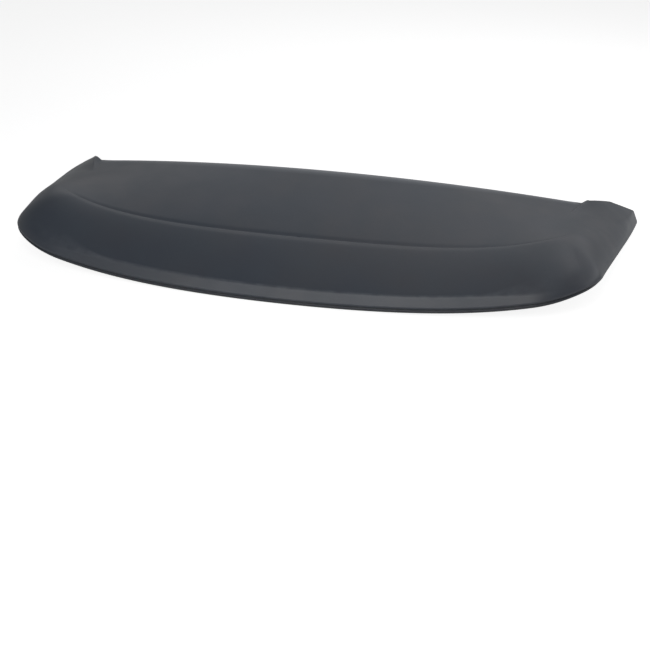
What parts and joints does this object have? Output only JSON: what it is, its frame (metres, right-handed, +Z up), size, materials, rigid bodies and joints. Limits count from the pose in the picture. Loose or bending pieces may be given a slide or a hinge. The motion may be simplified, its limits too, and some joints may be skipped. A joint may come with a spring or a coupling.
{
  "type": "car rear spoiler",
  "caption": "Wrap-around rear spoiler shell for a tailgate's top edge, with a sunken panel, a raised line around it and forward ears.",
  "frame": {"origin": "centre of the bounding box in X and Y, at the level of the surface it rests on, which its two ear tips and the middle of its tail touch", "axes": "+X across the car, +Y forwards towards the roof, +Z up; the tail is at -Y"},
  "size_m": [1.3448, 0.6316, 0.1494],
  "materials": {
    "primed_plastic": "satin grey primer over a plastic moulding, ready to paint"
  },
  "bodies": {
    "root": {"spoiler_shell": "primed_plastic"}
  },
  "joints": []
}
